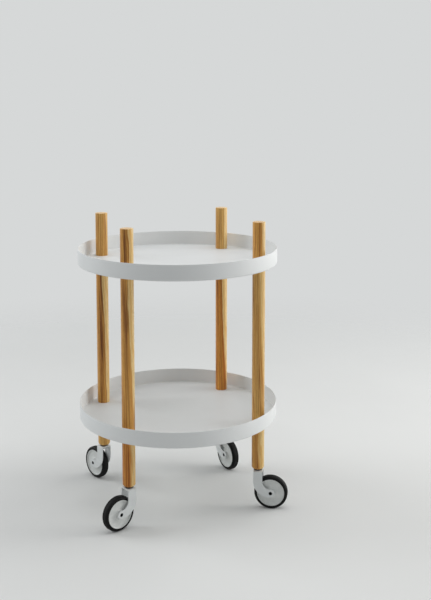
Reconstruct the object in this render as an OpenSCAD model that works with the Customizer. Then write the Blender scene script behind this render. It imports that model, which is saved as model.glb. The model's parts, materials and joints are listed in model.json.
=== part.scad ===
// Round two-tier serving trolley: two pressed steel trays are clamped between
// four turned wooden posts, and each post stands on a swivel caster.
// Millimetres. The origin is on the floor under the middle of the trays, +Z is
// up and +X runs along the longer spacing of the posts, so -Y is the front.

/* [Trays] */
// Outer diameter of both trays
tray_d = 450; // [430:1:520]
// Height of a tray from its underside to the edge of its rim
rim_h = 35; // [20:1:60]
// Thickness of the tray sheet
tray_sheet = 1.5; // [1:0.1:3]
// Outer radius of the fold between floor and rim
tray_fold_r = 4; // [3.5:0.5:8]

/* [Posts] */
// Diameter of the round posts
post_d = 28; // [24:1:34]
// Gap between a post and the inside of the rim
post_rim_gap = 15; // [8:1:30]
// Angle between +X and the line from the middle to the back right post
post_angle = 40.4; // [35:0.1:50]
// Length of a lower post, from the caster to the lower tray
lower_post_l = 104; // [70:1:200]
// Length of a middle post, from the lower tray to the upper tray
middle_post_l = 351.5; // [250:0.5:500]
// Length of a top post, above the upper tray
top_post_l = 100; // [60:1:160]
// Radius of the eased edge at the very top
post_top_round = 1; // [0.5:0.1:3]
// Radius of the rounded foot above the caster
post_foot_round = 6; // [2:0.5:7]

/* [Post joints] */
// Diameter of the studs that clamp a tray between two posts
stud_d = 8; // [6:1:9]
// Radial clearance of a stud in its hole in the tray
stud_hole_clear = 0.2; // [0.1:0.05:0.5]
// Outer diameter of the threaded inserts in the post ends
insert_d = 12; // [11:0.5:14]
// Length of a threaded insert
insert_l = 15; // [10:1:18]
// Depth of the post's pocket behind an insert
pocket_spare = 5; // [2:1:8]
// How far a stud or stem stops short of the insert's inner end
stud_end_gap = 1; // [0.5:0.5:3]

/* [Caster] */
// Diameter over the tyre
wheel_d = 75; // [65:1:90]
// Distance from the swivel axis to the axle
trail = 30; // [24:1:38]
// Gap between the top of the tyre and the fork's plate
tyre_top_gap = 9.5; // [6:0.5:20]
// Gap between the tyre's side and a fork arm
tyre_side_gap = 2; // [1.5:0.5:4]
// Thickness of the black collar under the post
collar_t = 2.8; // [1.5:0.1:6]
// Diameter of the collar
collar_d = 19; // [16:0.5:24]
// Radial running clearance of the axle and of the swivel stem
run_clear = 0.05; // [0.02:0.01:0.1]
// End play of the swivel, above the fork and under it
swivel_play = 0.2; // [0.1:0.05:0.5]
// End play of the wheel at each side
wheel_play = 0.2; // [0.1:0.05:0.5]

/* [Caster stem] */
// Diameter of the swivel stem
stem_d = 8; // [6:0.5:9]
// Width of the ledge of the stem's head
stem_head_ledge = 3; // [2:0.5:3.5]
// Thickness of the stem's head
stem_head_t = 2.5; // [1.5:0.5:4]
// Wall of the swivel bush
swivel_bush_wall = 2; // [1:0.25:2.5]
// Width of the swivel bush's flange
bush_flange = 2; // [1:0.25:2.5]
// Thickness of the swivel bush's flange
bush_flange_t = 1.5; // [1:0.25:2.5]

/* [Fork] */
// Thickness of the fork's metal
fork_sheet = 2.5; // [2:0.1:3.5]
// Inner radius of the fold between the plate and an arm
fork_fold_in = 1; // [0.5:0.1:1.4]
// Reach of the plate behind the swivel axis
fork_back = 9; // [8.5:0.5:12]
// Reach of the plate in front of the swivel axis
fork_front = 11.5; // [9:0.5:14]
// Height of an arm's straight part, from the top of the plate
fork_straight = 24; // [16:1:30]
// Metal around the axle in the round end of an arm
boss_wall = 5; // [3:0.5:8]

/* [Axle and wheel] */
// Outer diameter of the tubular axle
axle_d = 8; // [6:0.5:10]
// Wall of the tubular axle
axle_wall = 0.8; // [0.5:0.05:2]
// How far the axle's ends lie inside the arms' faces
axle_inset = 1; // [0:0.1:1.5]
// Thickness of the spacer washers
spacer_t = 1.2; // [0.8:0.1:1.6]
// Width of the spacer washers' ring
spacer_ring = 3.5; // [2:0.5:5]
// Wall of the bush in the hub
wheel_bush_wall = 2; // [1:0.25:3]
// Wall of the hub around its bush
hub_wall = 3.5; // [2.5:0.5:6]
// Thickness of the wheel's web
web_t = 10.4; // [7:0.1:13]
// Radial thickness of the raised lip beside the tyre
lip_t = 1.6; // [1.6:0.1:3]
// How far the lip lies inside the tyre's side
lip_inset = 0.5; // [0:0.1:1.5]
// Radius of the hollow between web and lip
web_fillet = 2.5; // [0.5:0.25:2.75]

/* [Tyre] */
// Radial thickness of the tyre
tyre_t = 7; // [4:0.5:10]
// Width of the tyre
tyre_w = 17; // [15:1:22]
// Radius of the tyre's shoulders
tyre_round = 5; // [2:0.5:6.5]
// Width of the tongue that keys the tyre into the wheel
tongue_w = 6; // [4:0.5:6.5]
// Depth of the tongue
tongue_h = 1.2; // [0.8:0.1:1.5]

/* [Caster directions as photographed] */
// Direction from stem to axle, front left
turn_front_left = 203.9; // [0:0.1:360]
// Direction from stem to axle, front right
turn_front_right = 331.6; // [0:0.1:360]
// Direction from stem to axle, back left
turn_back_left = 114.7; // [0:0.1:360]
// Direction from stem to axle, back right
turn_back_right = 284.8; // [0:0.1:360]

/* [Hidden] */
$fn = 96;

// Radii
tray_r = tray_d / 2;
post_r = post_d / 2;
stud_r = stud_d / 2;
insert_r = insert_d / 2;
stem_r = stem_d / 2;
axle_r = axle_d / 2;
wheel_r = wheel_d / 2;
boss_r = axle_r + boss_wall;
swivel_bush_r = stem_r + run_clear + swivel_bush_wall;
wheel_bush_r = axle_r + run_clear + wheel_bush_wall;
hub_r = wheel_bush_r + hub_wall;

// Heights, stacked from the floor up
axle_z = wheel_r;
plate_under_z = wheel_d + tyre_top_gap;
fork_top_z = plate_under_z + fork_sheet;
arm_bend_z = fork_top_z - fork_straight;
collar_z = fork_top_z + swivel_play;
foot_z = collar_z + collar_t;
lower_tray_z = foot_z + lower_post_l;
middle_post_z = lower_tray_z + tray_sheet;
upper_tray_z = middle_post_z + middle_post_l;
top_post_z = upper_tray_z + tray_sheet;
bush_flange_z = plate_under_z - bush_flange_t;
stem_head_z = bush_flange_z - swivel_play - stem_head_t;

// The posts stand on a ring inside the rims
post_ring_r = tray_r - tray_sheet - post_rim_gap - post_r;
post_x = post_ring_r * cos(post_angle);
post_y = post_ring_r * sin(post_angle);

// A rounded edge leaves at least this much flat wood around an insert
insert_land = 1;
// and this much rubber beside the wheel and across the tread
shoulder_land = 0.5;
tread_land = 2;

// A sawn end keeps a fine eased edge
sawn_round = 0.4;

foot_round = min(post_foot_round, post_r - insert_r - insert_land);
pocket_l = insert_l + pocket_spare;
engage_l = insert_l - stud_end_gap;

// Widths across a caster
fork_in = tyre_w + 2 * tyre_side_gap;
fork_out = fork_in + 2 * fork_sheet;
hub_w = fork_in - 2 * spacer_t - 2 * wheel_play;
lip_w = tyre_w - 2 * lip_inset;
rim_r = wheel_r - tyre_t;
shoulder = min(tyre_round, tyre_t - shoulder_land, (tyre_w - tread_land) / 2);

// An arm's curved edges are arcs that leave the straight part without a kink
// and touch the round end, so their radii follow from its reach and its drop.
arm_drop = arm_bend_z - axle_z;
front_reach = trail - fork_front;
back_reach = trail + fork_back;
arm_in_r = (pow(front_reach, 2) + pow(arm_drop, 2) - pow(boss_r, 2)) / (2 * (front_reach + boss_r));
arm_out_r = (pow(back_reach, 2) + pow(arm_drop, 2) - pow(boss_r, 2)) / (2 * (back_reach - boss_r));
arm_in_c = [fork_front + arm_in_r, arm_bend_z];
arm_out_c = [arm_out_r - fork_back, arm_bend_z];
boss_c = [trail, axle_z];
arm_in_touch = boss_c + boss_r * unit(arm_in_c - boss_c);
arm_out_touch = boss_c + boss_r * unit(boss_c - arm_out_c);

// Cuts run past the faces that they open by this much
past = 1;

CORNERS = ["front_left", "front_right", "back_left", "back_right"];
SIDES = [[-1, -1], [1, -1], [-1, 1], [1, 1]];
TURNS = [turn_front_left, turn_front_right, turn_back_left, turn_back_right];

CORNER_PARTS = [
    "top_post", "middle_post", "lower_post",
    "caster_stem", "stem_collar", "fork", "swivel_bush",
    "axle", "wheel_spacers", "wheel_bush", "wheel_core", "tyre"
];

POWDER_COAT = [0.91, 0.92, 0.92];
OAK = [0.72, 0.52, 0.31];
STEEL = [0.62, 0.63, 0.64];
BRASS = [0.75, 0.62, 0.34];
FORK_GREY = [0.74, 0.76, 0.77];
DISC_GREY = [0.80, 0.81, 0.80];
BLACK = [0.06, 0.06, 0.06];
NYLON = [0.86, 0.85, 0.80];

function unit(v) = v / norm(v);

// Placing

module at_posts() {
    for (i = [0:3]) at_post(i) children();
}

module at_post(i) {
    translate([SIDES[i][0] * post_x, SIDES[i][1] * post_y, 0]) children();
}

// +X points from the stem to the axle
module at_caster(i) {
    at_post(i) rotate([0, 0, TURNS[i]]) children();
}

// +Z lies along the axle and the origin is in the middle of the wheel
module at_wheel(i) {
    at_caster(i) translate([trail, 0, axle_z]) rotate([90, 0, 0]) children();
}

// Shapes

module ring(outer_r, inner_r, h) {
    difference() {
        cylinder(r = outer_r, h = h);
        translate([0, 0, -past]) cylinder(r = inner_r, h = h + 2 * past);
    }
}

// Half section of a filled dish with a round foot, open at height h
module dish_section(r, fold_r, h) {
    square([r - fold_r, h]);
    translate([0, fold_r]) square([r, h - fold_r]);
    translate([r - fold_r, fold_r]) circle(fold_r);
}

module tray() {
    color(POWDER_COAT)
    difference() {
        rotate_extrude() {
            difference() {
                intersection() {
                    dish_section(tray_r, tray_fold_r, rim_h - tray_sheet / 2);
                    square([tray_r, rim_h]);
                }
                translate([0, tray_sheet])
                intersection() {
                    dish_section(tray_r - tray_sheet, tray_fold_r - tray_sheet, rim_h);
                    square([tray_r, rim_h]);
                }
            }
            translate([tray_r - tray_sheet / 2, rim_h - tray_sheet / 2]) circle(tray_sheet / 2);
        }
        at_posts()
        translate([0, 0, -past])
        cylinder(r = stud_r + stud_hole_clear, h = tray_sheet + 2 * past);
    }
}

// Half section of a post with rounded ends
module post_section(l, bottom_round, top_round) {
    translate([0, bottom_round]) square([post_r, l - bottom_round - top_round]);
    square([post_r - bottom_round, l / 2]);
    translate([0, l / 2]) square([post_r - top_round, l / 2]);
    intersection() {
        square([post_r, l]);
        translate([post_r - bottom_round, bottom_round]) circle(bottom_round);
    }
    intersection() {
        square([post_r, l]);
        translate([post_r - top_round, l - top_round]) circle(top_round);
    }
}

module post(l, bottom_round, top_round, bottom_pocket, top_pocket) {
    color(OAK)
    difference() {
        rotate_extrude() post_section(l, bottom_round, top_round);
        if (bottom_pocket) translate([0, 0, -past]) cylinder(r = insert_r, h = pocket_l + past);
        if (top_pocket) translate([0, 0, l - pocket_l]) cylinder(r = insert_r, h = pocket_l + past);
    }
}

module insert(bore_r) {
    color(BRASS) ring(insert_r, bore_r, insert_l);
}

// One arm's outline seen from the side: x from the stem, y above the floor
module arm_outline() {
    translate([-fork_back, arm_bend_z]) square([fork_back + fork_front, fork_straight]);
    translate(boss_c) circle(boss_r);
    difference() {
        intersection() {
            translate(arm_out_c) circle(arm_out_r);
            polygon([
                [-fork_back, arm_bend_z],
                [arm_in_touch[0], arm_bend_z],
                arm_in_touch,
                arm_out_touch,
                [arm_out_touch[0], axle_z - boss_r - past],
                [-fork_back, axle_z - boss_r - past]
            ]);
        }
        translate(arm_in_c) circle(arm_in_r);
    }
}

// Across the fork: x from its middle, y above the floor, with folded top corners
module arch_section(w, top_z, fold_r) {
    translate([-w / 2, 0]) square([w, top_z - fold_r]);
    translate([-w / 2 + fold_r, 0]) square([w - 2 * fold_r, top_z]);
    for (side = [-1, 1]) {
        translate([side * (w / 2 - fold_r), top_z - fold_r]) circle(fold_r);
    }
}

module fork_section() {
    difference() {
        arch_section(fork_out, fork_top_z, fork_fold_in + fork_sheet);
        translate([0, -past]) arch_section(fork_in, plate_under_z + past, fork_fold_in);
    }
}

// Half section of the wheel, x from the axle and y from the wheel's middle
module core_half_section() {
    difference() {
        union() {
            square([hub_r, hub_w / 2]);
            square([rim_r, lip_w / 2]);
        }
        // the hollow between hub and lip
        translate([hub_r + web_fillet, web_t / 2])
        square([rim_r - lip_t - hub_r - 2 * web_fillet, hub_w]);
        translate([hub_r, web_t / 2 + web_fillet]) square([rim_r - lip_t - hub_r, hub_w]);
        translate([hub_r + web_fillet, web_t / 2 + web_fillet]) circle(web_fillet);
        translate([rim_r - lip_t - web_fillet, web_t / 2 + web_fillet]) circle(web_fillet);
        // the bush's seat and the tongue's groove
        translate([0, -past]) square([wheel_bush_r, hub_w]);
        translate([rim_r - tongue_h, -past]) square([tongue_h + past, tongue_w / 2 + past]);
    }
}

module tyre_half_section() {
    translate([rim_r, 0]) square([tyre_t - shoulder, tyre_w / 2]);
    translate([rim_r, 0]) square([tyre_t, tyre_w / 2 - shoulder]);
    intersection() {
        translate([rim_r, 0]) square([tyre_t, tyre_w / 2]);
        translate([wheel_r - shoulder, tyre_w / 2 - shoulder]) circle(shoulder);
    }
    translate([rim_r - tongue_h, 0]) square([tongue_h, tongue_w / 2]);
}

module both_sides() {
    children();
    mirror([0, 1]) children();
}

// Pieces: trays and their joints

module upper_tray() {
    translate([0, 0, upper_tray_z]) tray();
}

module lower_tray() {
    translate([0, 0, lower_tray_z]) tray();
}

// Four studs through the tray whose underside is at tray_z
module joint_studs(tray_z) {
    color(STEEL)
    at_posts()
    translate([0, 0, tray_z - engage_l])
    cylinder(r = stud_r, h = tray_sheet + 2 * engage_l);
}

// Eight inserts, under and over the tray whose underside is at tray_z
module joint_inserts(tray_z) {
    at_posts() {
        translate([0, 0, tray_z - insert_l]) insert(stud_r);
        translate([0, 0, tray_z + tray_sheet]) insert(stud_r);
    }
}

module caster_inserts() {
    at_posts() translate([0, 0, foot_z]) insert(stem_r);
}

// Pieces: posts

module top_post(i) {
    at_post(i) translate([0, 0, top_post_z]) post(top_post_l, sawn_round, post_top_round, true, false);
}

module middle_post(i) {
    at_post(i) translate([0, 0, middle_post_z]) post(middle_post_l, sawn_round, sawn_round, true, true);
}

module lower_post(i) {
    at_post(i) translate([0, 0, foot_z]) post(lower_post_l, foot_round, sawn_round, true, true);
}

// Pieces: caster, fixed to the post

module caster_stem(i) {
    color(STEEL)
    at_post(i) {
        translate([0, 0, stem_head_z]) cylinder(r = stem_r + stem_head_ledge, h = stem_head_t);
        translate([0, 0, stem_head_z]) cylinder(r = stem_r, h = foot_z + engage_l - stem_head_z);
    }
}

module stem_collar(i) {
    color(BLACK) at_post(i) translate([0, 0, collar_z]) ring(collar_d / 2, stem_r, collar_t);
}

// Pieces: caster, turning about the stem

module fork(i) {
    color(FORK_GREY)
    at_caster(i)
    difference() {
        intersection() {
            rotate([90, 0, 0]) linear_extrude(fork_out + 2 * past, center = true) arm_outline();
            translate([-fork_back - past, 0, 0])
            rotate([90, 0, 90])
            linear_extrude(back_reach + boss_r + 2 * past)
            fork_section();
        }
        translate([0, 0, plate_under_z - past]) cylinder(r = swivel_bush_r, h = fork_sheet + 2 * past);
        translate([trail, 0, axle_z])
        rotate([90, 0, 0])
        cylinder(r = axle_r, h = fork_out + 2 * past, center = true);
    }
}

module swivel_bush(i) {
    color(NYLON)
    at_caster(i)
    translate([0, 0, bush_flange_z])
    difference() {
        union() {
            cylinder(r = swivel_bush_r + bush_flange, h = bush_flange_t);
            cylinder(r = swivel_bush_r, h = bush_flange_t + fork_sheet);
        }
        translate([0, 0, -past])
        cylinder(r = stem_r + run_clear, h = bush_flange_t + fork_sheet + 2 * past);
    }
}

module axle(i) {
    axle_l = fork_out - 2 * axle_inset;
    color(STEEL) at_wheel(i) translate([0, 0, -axle_l / 2]) ring(axle_r, axle_r - axle_wall, axle_l);
}

module wheel_spacers(i) {
    color(STEEL)
    at_wheel(i) {
        translate([0, 0, fork_in / 2 - spacer_t]) ring(axle_r + spacer_ring, axle_r, spacer_t);
        translate([0, 0, -fork_in / 2]) ring(axle_r + spacer_ring, axle_r, spacer_t);
    }
}

// Pieces: wheel, turning about the axle

module wheel_bush(i) {
    color(NYLON)
    at_wheel(i)
    translate([0, 0, -hub_w / 2])
    ring(wheel_bush_r, axle_r + run_clear, hub_w);
}

module wheel_core(i) {
    color(DISC_GREY) at_wheel(i) rotate_extrude() both_sides() core_half_section();
}

module tyre(i) {
    color(BLACK) at_wheel(i) rotate_extrude() both_sides() tyre_half_section();
}

// Assembly

upper_tray();
lower_tray();
joint_studs(upper_tray_z);  // upper_joint_studs
joint_studs(lower_tray_z);  // lower_joint_studs
joint_inserts(upper_tray_z);  // upper_joint_inserts
joint_inserts(lower_tray_z);  // lower_joint_inserts
caster_inserts();
for (i = [0:3]) {
    top_post(i);
    middle_post(i);
    lower_post(i);
    caster_stem(i);
    stem_collar(i);
    fork(i);
    swivel_bush(i);
    axle(i);
    wheel_spacers(i);
    wheel_bush(i);
    wheel_core(i);
    tyre(i);
}
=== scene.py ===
"""Looks of a round two-tier serving trolley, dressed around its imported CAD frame.

Lengths in the classes are in millimetres, as on a workshop drawing. Meshes are
brought to metres and to their place just before they become pieces, so every
piece's object sits at the origin, as a CAD node's does.
"""

import json
import logging
import math
from dataclasses import dataclass
from enum import Enum

import bmesh
import bpy
from bpy.types import Material, Mesh, Node, NodeSocket, NodeTree, Object
from mathutils import Matrix, Vector


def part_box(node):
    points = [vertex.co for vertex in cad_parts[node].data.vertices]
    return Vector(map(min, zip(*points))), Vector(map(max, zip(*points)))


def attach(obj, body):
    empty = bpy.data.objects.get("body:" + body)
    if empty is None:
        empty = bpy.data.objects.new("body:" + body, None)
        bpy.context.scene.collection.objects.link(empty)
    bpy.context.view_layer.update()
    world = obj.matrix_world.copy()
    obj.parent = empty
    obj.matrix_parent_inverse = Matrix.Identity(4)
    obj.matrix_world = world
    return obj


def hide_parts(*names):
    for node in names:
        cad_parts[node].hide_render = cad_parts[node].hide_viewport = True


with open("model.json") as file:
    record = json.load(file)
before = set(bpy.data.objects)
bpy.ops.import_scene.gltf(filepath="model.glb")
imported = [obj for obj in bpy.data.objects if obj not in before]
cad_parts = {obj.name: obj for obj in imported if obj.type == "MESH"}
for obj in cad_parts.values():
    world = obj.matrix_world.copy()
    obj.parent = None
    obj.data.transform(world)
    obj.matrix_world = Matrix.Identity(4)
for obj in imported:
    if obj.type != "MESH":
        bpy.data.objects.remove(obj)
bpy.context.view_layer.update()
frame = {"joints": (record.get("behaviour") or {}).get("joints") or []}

Point = tuple[float, float]
Triple = tuple[float, float, float]
Profile = list[Point]
Colour = tuple[float, float, float, float]

MM = 0.001
WELD = 0.001  # millimetres within which points are one point
SHARP_ANGLE = math.radians(12)  # edges that fold more than this are shaded sharp
EASED_ANGLE = math.radians(50)  # edges that fold more than this get an eased edge
LOG = logging.getLogger("trolley")


class Corner(Enum):
    """The four legs, seen from the front."""

    FRONT_LEFT = "front_left"
    FRONT_RIGHT = "front_right"
    BACK_LEFT = "back_left"
    BACK_RIGHT = "back_right"


class Tier(Enum):
    """The three lengths of dowel that make one leg."""

    TOP = "top_post"
    MIDDLE = "middle_post"
    LOWER = "lower_post"


class Slot(Enum):
    """The record's material slots."""

    POWDER_COAT = "powder_coat"
    OAK = "oak"
    ZINC_STEEL = "zinc_steel"
    INSERT_BRASS = "insert_brass"
    FORK_LACQUER = "fork_lacquer"
    BLACK_PLASTIC = "black_plastic"
    BUSH_PLASTIC = "bush_plastic"
    WHEEL_PLASTIC = "wheel_plastic"
    TYRE_RUBBER = "tyre_rubber"


def srgb(red: float, green: float, blue: float) -> Colour:
    """Turns a screen colour into the linear colour that Blender's sockets take.

    Args:
        red: Red, 0 to 255.
        green: Green, 0 to 255.
        blue: Blue, 0 to 255.

    Returns:
        The linear colour with full alpha.
    """

    def linear(value: float) -> float:
        """Undoes the screen's curve for one channel."""
        share = value / 255
        return share / 12.92 if share <= 0.04045 else ((share + 0.055) / 1.055) ** 2.4

    return (linear(red), linear(green), linear(blue), 1.0)


def arc(centre: Point, radius: float, start: float, end: float, steps: int = 10) -> Profile:
    """Lists points along a circular arc.

    Args:
        centre: The arc's centre.
        radius: The arc's radius.
        start: Angle of the first point, in degrees.
        end: Angle of the last point, in degrees.
        steps: Number of chords.

    Returns:
        The points, both ends included.
    """
    angles = [math.radians(start + (end - start) * k / steps) for k in range(steps + 1)]
    return [(centre[0] + radius * math.cos(a), centre[1] + radius * math.sin(a)) for a in angles]


# Nodes and materials


class Nodes:
    """A node tree, with short calls that add nodes and feed them."""

    MIX_FIRST, MIX_SECOND, MIX_RESULT = 6, 7, 2  # a Mix node's sockets for colours

    def __init__(self, tree: NodeTree) -> None:
        """Empties a tree and takes it over."""
        self.tree = tree
        tree.nodes.clear()

    def feed(self, socket: NodeSocket, value: object) -> None:
        """Links a socket to another one, or sets it to a constant.

        Args:
            socket: The input to feed.
            value: An output socket, or a constant for the input.
        """
        if isinstance(value, NodeSocket):
            self.tree.links.new(value, socket)
        else:
            socket.default_value = value

    def add(self, kind: str, *values: object, **settings: object) -> Node:
        """Adds a shader node.

        Args:
            kind: The node's type, without its ShaderNode prefix.
            *values: What its inputs take, in order.
            **settings: Properties to set on the node.

        Returns:
            The new node.
        """
        node = self.tree.nodes.new("ShaderNode" + kind)
        for key, value in settings.items():
            setattr(node, key, value)
        for socket, value in zip(node.inputs, values):
            self.feed(socket, value)
        return node

    def math(self, operation: str, *values: object) -> NodeSocket:
        """Works out a Math node's operation on numbers."""
        return self.add("Math", *values, operation=operation).outputs[0]

    def vector(self, operation: str, *values: object) -> NodeSocket:
        """Works out a Vector Math node's operation on vectors."""
        node = self.add("VectorMath", *values, operation=operation)
        return node.outputs["Value" if operation == "LENGTH" else "Vector"]

    def spread(self, value: NodeSocket, width: float, middle: float) -> NodeSocket:
        """Turns a number of 0 to 1 into one that lies round a middle, in a given width."""
        return self.math("MULTIPLY_ADD", value, width, middle - width / 2)

    def between(
        self, value: object, low: float, high: float, out_low: float = 0.0, out_high: float = 1.0
    ) -> NodeSocket:
        """Maps a number smoothly from one range to another, and clamps it.

        Args:
            value: The number.
            low: Where the result is out_low.
            high: Where the result is out_high.
            out_low: First end of the result.
            out_high: Second end of the result.

        Returns:
            The mapped number.
        """
        settings = {"interpolation_type": "SMOOTHSTEP", "clamp": True}
        return self.add("MapRange", value, low, high, out_low, out_high, **settings).outputs["Result"]

    def mix(self, share: object, first: object, second: object) -> NodeSocket:
        """Mixes two colours.

        Args:
            share: Share of the second colour.
            first: The first colour.
            second: The second colour.

        Returns:
            The mixed colour.
        """
        node = self.add("Mix", share, data_type="RGBA")
        self.feed(node.inputs[self.MIX_FIRST], first)
        self.feed(node.inputs[self.MIX_SECOND], second)
        return node.outputs[self.MIX_RESULT]

    def seen_directly(self) -> NodeSocket:
        """Tells the rays that show the background: seen, mirrored or through glass.

        Returns:
            1 for such a ray, 0 for any other.
        """
        path = self.add("LightPath").outputs
        seen = self.math("MAXIMUM", path["Is Camera Ray"], path["Is Glossy Ray"])
        return self.math("MAXIMUM", seen, path["Is Transmission Ray"])


@dataclass(frozen=True)
class Pattern:
    """A noise pattern.

    Attributes:
        scale: Grains in a metre, one number for each axis or one for all.
        detail: Number of octaves.
        rough: Weight of the finer octaves.
        warp: Distortion.
    """

    scale: float | Triple
    detail: float = 2.0
    rough: float = 0.5
    warp: float = 0.0


class NodeSheet(Nodes):
    """A material's nodes round one Principled shader, for one piece."""

    def __init__(self, name: str, centre: Vector | Triple = (0, 0, 0)) -> None:
        """Starts the material.

        Args:
            name: The material's name.
            centre: The point that patterns are centred on, in metres.
        """
        self.material = bpy.data.materials.new(name)
        self.material.use_nodes = True
        super().__init__(self.material.node_tree)
        self.centre = tuple(centre)
        self.shader = self.add("BsdfPrincipled")
        self.output = self.add("OutputMaterial", self.shader.outputs["BSDF"])

    def place(self, *turn: float) -> NodeSocket:
        """Gives Object coordinates, centred on the piece.

        Args:
            *turn: Turn of the axes, in degrees, none if left out.

        Returns:
            The coordinates, in metres.
        """
        source = self.add("TexCoord").outputs["Object"]
        angles = tuple(math.radians(angle) for angle in turn or (0, 0, 0))
        return self.add("Mapping", source, self.centre, angles, vector_type="TEXTURE").outputs["Vector"]

    def height(self) -> NodeSocket:
        """Gives the height above the floor, in metres."""
        return self.add("SeparateXYZ", self.add("TexCoord").outputs["Object"]).outputs["Z"]

    def noise(self, at: NodeSocket, pattern: Pattern) -> NodeSocket:
        """Adds noise.

        Args:
            at: Coordinates, in metres.
            pattern: The pattern.

        Returns:
            The noise, about 0.5 on average.
        """
        scale = pattern.scale if isinstance(pattern.scale, tuple) else (pattern.scale,) * 3
        node = self.add("TexNoise", self.vector("MULTIPLY", at, scale))
        sizes = (1.0, pattern.detail, pattern.rough, pattern.warp)
        for key, value in zip(("Scale", "Detail", "Roughness", "Distortion"), sizes):
            node.inputs[key].default_value = value
        return node.outputs["Fac"]

    def relief(self, height: NodeSocket, depth: float, strength: float) -> None:
        """Gives the surface a bump.

        Args:
            height: Height between 0 and 1.
            depth: Height of a full step, in millimetres.
            strength: Share of the bump that shows.
        """
        node = self.add("Bump")
        for key, value in (("Strength", strength), ("Distance", depth * MM), ("Height", height)):
            self.feed(node.inputs[key], value)
        self.feed(self.shader.inputs["Normal"], node.outputs["Normal"])

    def dress(self, **sockets: object) -> Material:
        """Feeds the shader's sockets.

        Args:
            **sockets: Socket names with _ for a space, and their values.

        Returns:
            The finished material.
        """
        for name, value in sockets.items():
            self.feed(self.shader.inputs[name.replace("_", " ")], value)
        return self.material


@dataclass(frozen=True)
class PowderCoat:
    """Fine white powder coat on pressed sheet, satin, with a soft orange peel.

    It is scuffed in places, and worn within worn_edge of the rim's edge.
    """

    colour: Colour = srgb(229, 231, 231)
    shade: Colour = srgb(222, 224, 224)
    scuff: Colour = srgb(200, 201, 200)
    roughness: float = 0.48
    specular: float = 0.3
    cloud: Pattern = Pattern(9, 3)
    peel: Pattern = Pattern(900)
    peel_depth: float = 0.03
    scratch: Pattern = Pattern((14, 900, 60), 2, 0.6, 0.4)
    scratch_turn: float = 31.0
    worn_edge: float = 0.6

    def material(self, name: str, rim_top: float) -> Material:
        """Builds the coat for one tray.

        Args:
            name: The material's name.
            rim_top: Height of the rim's edge, in metres, where the coat wears first.

        Returns:
            The material.
        """
        sheet = NodeSheet(name)
        at = sheet.place()
        cloud = sheet.noise(at, self.cloud)
        scratch = sheet.noise(sheet.place(0, 0, self.scratch_turn), self.scratch)
        rubbed = sheet.between(scratch, 0.70, 0.80, 0.0, 0.5)
        edge = sheet.between(sheet.height(), rim_top - self.worn_edge * MM, rim_top)
        worn = sheet.math("MULTIPLY", edge, sheet.between(cloud, 0.42, 0.62, 0.15, 0.7))
        base = sheet.mix(cloud, self.colour, self.shade)
        base = sheet.mix(sheet.math("MULTIPLY", rubbed, 0.22), base, self.scuff)
        base = sheet.mix(worn, base, self.scuff)
        gloss = sheet.spread(cloud, 0.10, self.roughness)
        gloss = sheet.math("MULTIPLY_ADD", rubbed, 0.12, gloss)
        sheet.relief(sheet.noise(at, self.peel), self.peel_depth, 0.35)
        return sheet.dress(Base_Color=base, Roughness=gloss, Specular_IOR_Level=self.specular)


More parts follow.
